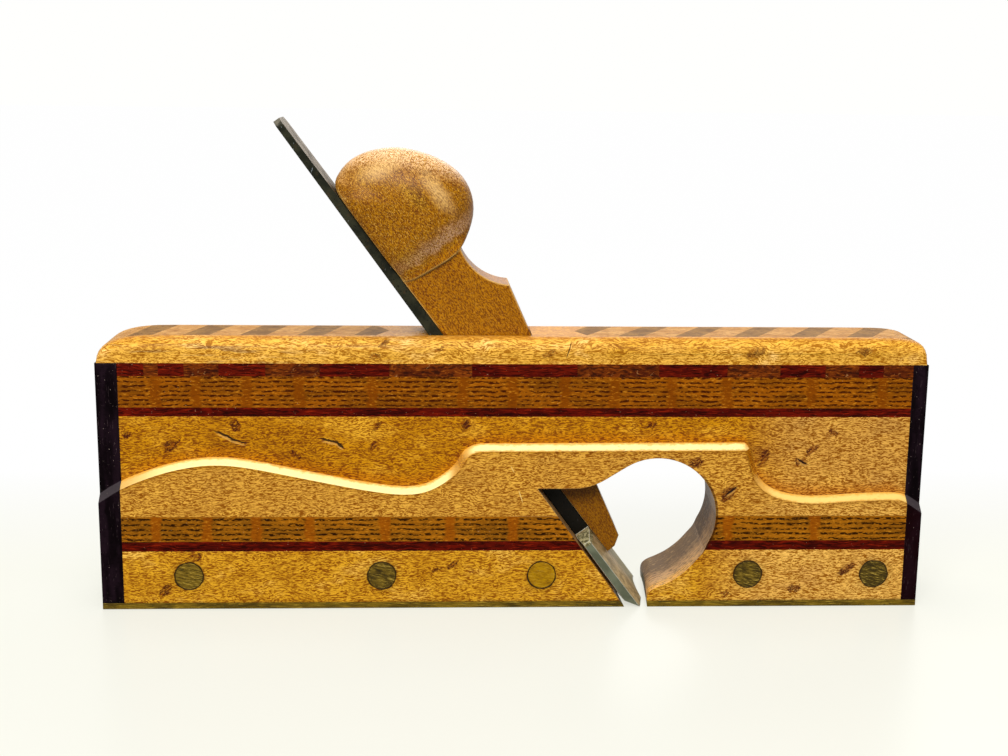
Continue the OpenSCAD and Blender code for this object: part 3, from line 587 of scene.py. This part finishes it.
def brass_sole(name, seed):
    """Tarnished brass with scratches along it, and a dark seam under the wood."""
    g = Graph(name, seed)
    cloud = g.noise((9, 5, 3), 4, 0.62)
    base = g.tones(g.band(cloud, 0.34, 0.68), (125, 99, 20), (77, 60, 12))
    cut = g.noise((5.0, 0.5, 0.22), 3, 0.7)
    base = g.over(base, g.band(cut, 0.50, 0.64), 0.75, (36, 28, 6))
    base = g.over(base, g.band(cut, 0.44, 0.32), 0.65, (204, 172, 64))
    pit = g.band(g.noise((1.4, 1.4, 0.5), 2), 0.64, 0.72)
    base = g.over(base, pit, 0.6, (44, 50, 30))
    seam = g.band(g.z, SOLE_T - 0.3, SOLE_T - 0.05)
    base = g.over(base, seam, 0.8, (44, 40, 10))
    rough = g.band(cloud, 0.3, 0.7, 0.42, 0.6)
    return g.finish(base, rough, cut, 0.02, 0.2, metal=0.2)


def brass_pins(name, seed):
    """Filed flush and tarnished. The third from the heel is newer and brighter."""
    g = Graph(name, seed)
    cloud = g.noise((2.6, 3, 2.2), 4, 0.66)
    patch = g.band(cloud, 0.36, 0.66)
    base = g.tones(patch, (106, 84, 22), (65, 50, 12))
    first, dull, bright = [g.near(g.x, [x], 5.0, 1.0) for x in (FIRST_PIN, DULL_PIN, NEWER_PIN)]
    base = g.over(base, first, 0.6, (126, 100, 24))
    base = g.over(base, dull, 0.5, (58, 46, 14))
    base = g.mix(bright, base, g.tones(patch, (178, 132, 3), (148, 104, 3)))
    tilt = g.vector("MULTIPLY_ADD", g.join(g.z, 0.0, g.x), (0.35, 0, 0.22), g.seeded)
    cut = g.noise((3.0, 3.0, 0.30), 3, 0.7, at=tilt)
    share = g.band(bright, 0.0, 1.0, 0.9, 0.4)
    base = g.over(base, g.band(cut, 0.51, 0.62), share, (34, 26, 6))
    base = g.over(base, g.band(cut, 0.46, 0.34), g.both(share, 0.8), (196, 166, 70))
    speck = g.band(g.noise((0.6, 0.6, 0.6), 2), 0.66, 0.73)
    base = g.over(base, speck, 0.6, (40, 46, 28))
    rough = g.band(cloud, 0.3, 0.7, 0.42, 0.6)
    return g.finish(base, rough, cut, 0.02, 0.25, metal=0.15)


def blade_colour(g):
    """The blade's near side is ground blue grey, and its front is worn brown."""
    side = g.band(g.facing("y"), -0.6, -0.9)
    grey = g.tones(g.band(g.noise((5, 3, 5), 3), 0.35, 0.65), (110, 115, 94), (88, 92, 74))
    patch = g.band(g.noise((2.6, 2, 2.6), 4, 0.7), 0.36, 0.66)
    pink = g.tones(patch, (193, 168, 122), (137, 118, 80))
    pink = g.over(pink, g.band(g.y, 11.0, 17.0), 0.75, (142, 133, 92))
    return g.mix(side, pink, grey)


def steel(name, seed):
    """Blackened steel with rust and pits, and a ground blade."""
    g = Graph(name, seed)
    u = up_the_bed(g)
    cloud = g.noise((6, 5, 6), 4, 0.6)
    base = g.tones(g.band(cloud, 0.36, 0.66), (18, 20, 12), (44, 44, 30))
    rust = g.band(g.noise((2.2, 2.2, 2.2), 4, 0.65), 0.56, 0.72)
    base = g.over(base, rust, 0.5, (74, 50, 28))
    pit = g.band(g.noise((0.7, 0.7, 0.7), 3), 0.62, 0.7)
    base = g.over(base, pit, 0.7, (12, 12, 10))
    glint = g.band(g.noise((0.6, 0.6, 2.4), 2), 0.70, 0.76)
    base = g.over(base, glint, 0.6, (150, 160, 166))
    # the tang's front face is browner and lighter than its sides, and is painted dark with the
    # throat's shade
    front = g.band(g.facing("x"), 0.5, 0.7)
    tan = g.tones(g.band(cloud, 0.4, 0.62), (104, 88, 62), (66, 54, 36))
    base = g.mix(g.both(front, 0.94), base, tan)
    base = g.over(base, g.fall(g.z, SHADE_Z, SHADE_Z + 6), 0.9, (8, 5, 2))
    blade = g.fall(u, BLADE_U - 0.2, BLADE_U + 0.2)
    base = g.mix(g.both(blade, 0.94), base, blade_colour(g))
    # the small face at the blade's top is grey and gritty
    grit = g.band(g.noise((0.9, 0.9, 0.9), 3, 0.7), 0.40, 0.62)
    cheek = g.both(g.band(u, BLADE_U - 3.1, BLADE_U - 2.3), g.fall(g.y, 6.0, 8.0))
    base = g.mix(g.both(blade, cheek), base, g.tones(grit, (92, 86, 56), (186, 176, 132)))
    # a painted highlight along the blade's edges
    edge = g.both(g.edges(0.3), blade)
    base = g.over(base, edge, 0.75, (214, 212, 200))
    top = g.both(g.band(u, TANG_U - 0.9, TANG_U + 0.9), g.band(cloud, 0.40, 0.56))
    base = g.over(base, top, 0.8, (118, 112, 98))
    rough = g.band(cloud, 0.3, 0.7, 0.38, 0.58)
    height = g.moved(g.both(cloud, 0.6), pit, -1.0)
    return g.finish(base, rough, height, 0.05, 0.3, metal=0.2)


def stripe(name, seed, light, dark):
    """A wood of the inlay, in two tones, with a dark rim where the inlay ends."""
    g = Graph(name, seed)
    wave, dash = grain(g, 2.4, 0.5)
    base = g.tones(g.band(g.noise((7, 5, 4), 3, at=wave), 0.36, 0.68), light, dark)
    pore_tone = (dark[0] * 0.7, dark[1] * 0.62, dark[2] * 0.55)
    base = g.over(base, g.band(dash, 0.50, 0.64), 0.65, pore_tone)
    speck = g.band(g.noise((0.6, 0.6, 0.6), 2), 0.72, 0.76)
    base = g.over(base, speck, 0.5, (230, 200, 150))
    rim = g.near(g.y, [INLAY_Y], 0.05, 0.2)
    base = g.over(base, rim, 0.7, (104, 62, 24))
    return g.finish(base, 0.5, g.both(dash, -0.5), 0.03, specular=0.03)


def modifier_group(name):
    """The nodes of a new modifier group, and the geometry that it is given."""
    tree = bpy.data.node_groups.new(name, "GeometryNodeTree")
    for way in ("INPUT", "OUTPUT"):
        tree.interface.new_socket("Geometry", in_out=way, socket_type="NodeSocketGeometry")
    g = Nodes(tree)
    return g, g.add("NodeGroupInput").outputs[0]


def compare(g, op, a, b):
    """Whether a is more or less than b."""
    return g.add("FunctionNodeCompare", (a, b), operation=op).outputs[0]


def shade(g, shape, domain, smooth, chosen=True):
    """The shape with the chosen faces or edges shaded smooth or sharp."""
    inputs = {"Geometry": shape, "Selection": chosen, "Shade Smooth": smooth}
    return g.add("GeometryNodeSetShadeSmooth", inputs, domain=domain).outputs[0]


def smooth_by_angle(angle):
    """A modifier group that shades the flats of a faceted curve as one smooth face."""
    g, shape = modifier_group("smooth_curves")
    stored_normals = {"Geometry": shape, "Name": "custom_normal"}
    shape = g.add("GeometryNodeRemoveAttribute", stored_normals).outputs[0]
    shape = g.add("GeometryNodeMergeByDistance", {"Geometry": shape, "Distance": WELD}).outputs[0]
    shape = shade(g, shape, "FACE", True)
    bend = g.add("GeometryNodeInputMeshEdgeAngle").outputs["Unsigned Angle"]
    shape = shade(g, shape, "EDGE", False, compare(g, "GREATER_THAN", bend, angle))
    g.add("NodeGroupOutput", (shape,))
    return g.tree


def without_folds():
    """A modifier group that drops thin faces turned inwards on the recessed front."""
    g, shape = modifier_group("without_folds")
    y = g.split(g.add("GeometryNodeInputPosition").outputs[0])[1]
    facing = g.split(g.add("GeometryNodeInputNormal").outputs[0])[1]
    in_front = compare(g, "LESS_THAN", y, (RECESS + 0.1 - HALF_T) * MM)
    inwards = compare(g, "GREATER_THAN", facing, 0.9)
    fold = g.add("FunctionNodeBooleanMath", (in_front, inwards), operation="AND").outputs[0]
    kept = g.add("GeometryNodeDeleteGeometry", {"Geometry": shape, "Selection": fold}, domain="FACE")
    g.add("NodeGroupOutput", (kept.outputs[0],))
    return g.tree


def dress(piece, mat, curves):
    """Put the material on the whole piece, and smooth its curved faces."""
    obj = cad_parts[piece]
    for i in range(max(len(obj.data.materials), 1)):
        if i < len(obj.material_slots):
            obj.material_slots[i].material = mat
        else:
            obj.data.materials.append(mat)
    obj.modifiers.new("smooth_curves", "NODES").node_group = curves


# Materials that more than one piece has
lower = maple_lower("maple_lower", 2.0)
red = red_wood("red_wood", 5.0, (96, 16, 5), (56, 7, 4), throat=True)
low_streaks = streaked_wood("streaked_lower", 6.0, LOWER_GAPS, 1.5, (164, 100, 14), (144, 70, 2),
                            (28, 6, 0), throat=True)
sole = brass_sole("brass_sole", 8.0)
dark_stripe = stripe("stripe_dark", 13.0, (138, 100, 48), (112, 78, 36))
light_stripe = stripe("stripe_light", 14.0, (192, 144, 82), (168, 118, 58))
ebony = dark_wood("ebony", 10.0)

# The material of each piece
LOOKS = {
    "sole_heel": sole, "sole_toe": sole, "cross_pins": brass_pins("brass_pins", 9.0),
    "lower_board_heel": lower, "lower_board_toe": lower,
    "lower_red_strip_heel": red, "lower_red_strip_toe": red, "upper_red_strip": red,
    "lower_streaked_strip_heel": low_streaks, "lower_streaked_strip_toe": low_streaks,
    "upper_streaked_strip": streaked_wood("streaked_upper", 7.0, UPPER_GAPS, 1.35, (152, 84, 6),
                                          (118, 54, 0), (54, 12, 0)),
    "main_board": maple_board("maple_board", 1.0), "top_board": maple_top("maple_top", 3.0),
    "band_blocks_red": red_wood("block_red", 11.0, (98, 20, 6), (66, 7, 4)),
    "band_blocks_brown": brown_blocks("block_brown", 12.0),
    "inlay_dark_heel": dark_stripe, "inlay_dark_toe": dark_stripe,
    "inlay_light_heel": light_stripe, "inlay_light_toe": light_stripe,
    "heel_cap": ebony, "toe_cap": ebony,
    "iron": steel("iron_steel", 15.0), "wedge": wedge_maple("wedge_maple", 4.0),
}
curves = smooth_by_angle(SMOOTH_ANGLE)
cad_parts["top_board"].modifiers.new("without_folds", "NODES").node_group = without_folds()
for piece, mat in LOOKS.items():
    dress(piece, mat, curves)


def shows_background(g):
    """1 for rays from the camera, mirrored rays and rays through glass."""
    path = g.add("ShaderNodeLightPath").outputs
    kinds = ("Is Camera Ray", "Is Glossy Ray", "Is Transmission Ray")
    return g.reduce("MAXIMUM", [path[kind] for kind in kinds])


def floor_material():
    """White that glows a little for the camera, and grey for the light that bounces off it."""
    mat = bpy.data.materials.new("floor_white")
    mat.use_nodes = True
    g = Nodes(mat.node_tree)
    # the camera sees the floor's own white, and more of it behind the object and far from it
    at = g.add("ShaderNodeTexCoord").outputs["Object"]
    behind = g.band(g.split(at)[1], 0.02, 0.14, kind="LINEAR")
    distant = g.band(g.vector("LENGTH", at), 0.3, 0.9, kind="LINEAR")
    clear = g.math("MAXIMUM", behind, distant)
    fade = g.band(clear, 0.0, 1.0, 0.72, 0.99, kind="LINEAR")
    cream, white = (0.90, 0.90, 0.80, 1), (1.0, 1.0, 1.0, 1)
    tint = g.mix(clear, cream, white)
    glow = g.add("ShaderNodeEmission", {"Color": tint, "Strength": 1.0}).outputs[0]
    body = {"Base Color": (0.80, 0.80, 0.77, 1), "Roughness": 0.3}
    seen = g.mix_shaders(fade, g.add("ShaderNodeBsdfPrincipled", body).outputs[0], glow)
    # other rays meet a darker floor, which keeps the dark woods dark
    dim = g.add("ShaderNodeBsdfDiffuse", {"Color": (0.22, 0.22, 0.21, 1)}).outputs[0]
    g.add("ShaderNodeOutputMaterial", (g.mix_shaders(shows_background(g), dim, seen),))
    return mat


def floor():
    """A pale floor without a horizon."""
    mesh = bpy.data.meshes.new("floor")
    reach = 6.0
    corners = [(-reach, -reach, 0), (reach, -reach, 0), (reach, reach, 0), (-reach, reach, 0)]
    mesh.from_pydata(corners, [], [(0, 1, 2, 3)])
    obj = bpy.data.objects.new("floor", mesh)
    obj.location.z = -0.2 * MM
    bpy.context.collection.objects.link(obj)
    mesh.materials.append(floor_material())


def background(g, tint, strength):
    """Even light from all around."""
    return g.add("ShaderNodeBackground", {"Color": tint, "Strength": strength}).outputs[0]


def surroundings():
    """Weak light from all around, and a white background."""
    world = bpy.data.worlds.new("studio")
    bpy.context.scene.world = world
    world.use_nodes = True
    g = Nodes(world.node_tree)
    soft = background(g, (1.0, 0.99, 0.97, 1), 0.12)
    white = background(g, (1.0, 1.0, 0.985, 1), 1.0)
    g.add("ShaderNodeOutputWorld", (g.mix_shaders(shows_background(g), soft, white),))


def lamp(name, at, size, power, tint=(1, 1, 1)):
    """A soft lamp of size (across, along) metres that aims at the stock."""
    data = bpy.data.lights.new(name, "AREA")
    data.shape = "RECTANGLE"
    data.size, data.size_y = size
    data.energy = power
    data.color = tint
    obj = bpy.data.objects.new(name, data)
    obj.location = at
    obj.rotation_euler = (Vector(LAMP_AIM) - Vector(at)).to_track_quat("-Z", "Y").to_euler()
    bpy.context.collection.objects.link(obj)


def camera():
    """The camera solved from the photograph."""
    ahead = Vector((math.sin(TURN) * math.cos(TILT), math.cos(TURN) * math.cos(TILT),
                    -math.sin(TILT)))
    side = Vector((math.cos(TURN), -math.sin(TURN), 0))
    above = side.cross(ahead)
    right = math.cos(ROLL) * side + math.sin(ROLL) * above
    up = -math.sin(ROLL) * side + math.cos(ROLL) * above
    data = bpy.data.cameras.new("camera")
    data.sensor_width = SENSOR
    data.lens = FOCAL_PX * SENSOR / PHOTO_PX
    obj = bpy.data.objects.new("camera", data)
    turned = Matrix((right, up, -ahead)).transposed().to_4x4()
    at = (Vector(CAMERA_AT) - Vector((HALF_L, HALF_T, 0))) * MM
    obj.matrix_world = Matrix.Translation(at) @ turned
    bpy.context.collection.objects.link(obj)
    bpy.context.scene.camera = obj


floor()
surroundings()
lamp("overhead", (-0.05, -0.02, 0.95), (0.9, 0.36), 6.5, (1.0, 0.99, 0.96))
lamp("front", (-0.15, -0.85, 0.72), (0.8, 0.4), 13.0, (1.0, 0.985, 0.95))
lamp("back", (0.2, 0.7, 0.5), (0.8, 0.4), 2.5)
camera()
bpy.context.scene.view_settings.view_transform = "Standard"
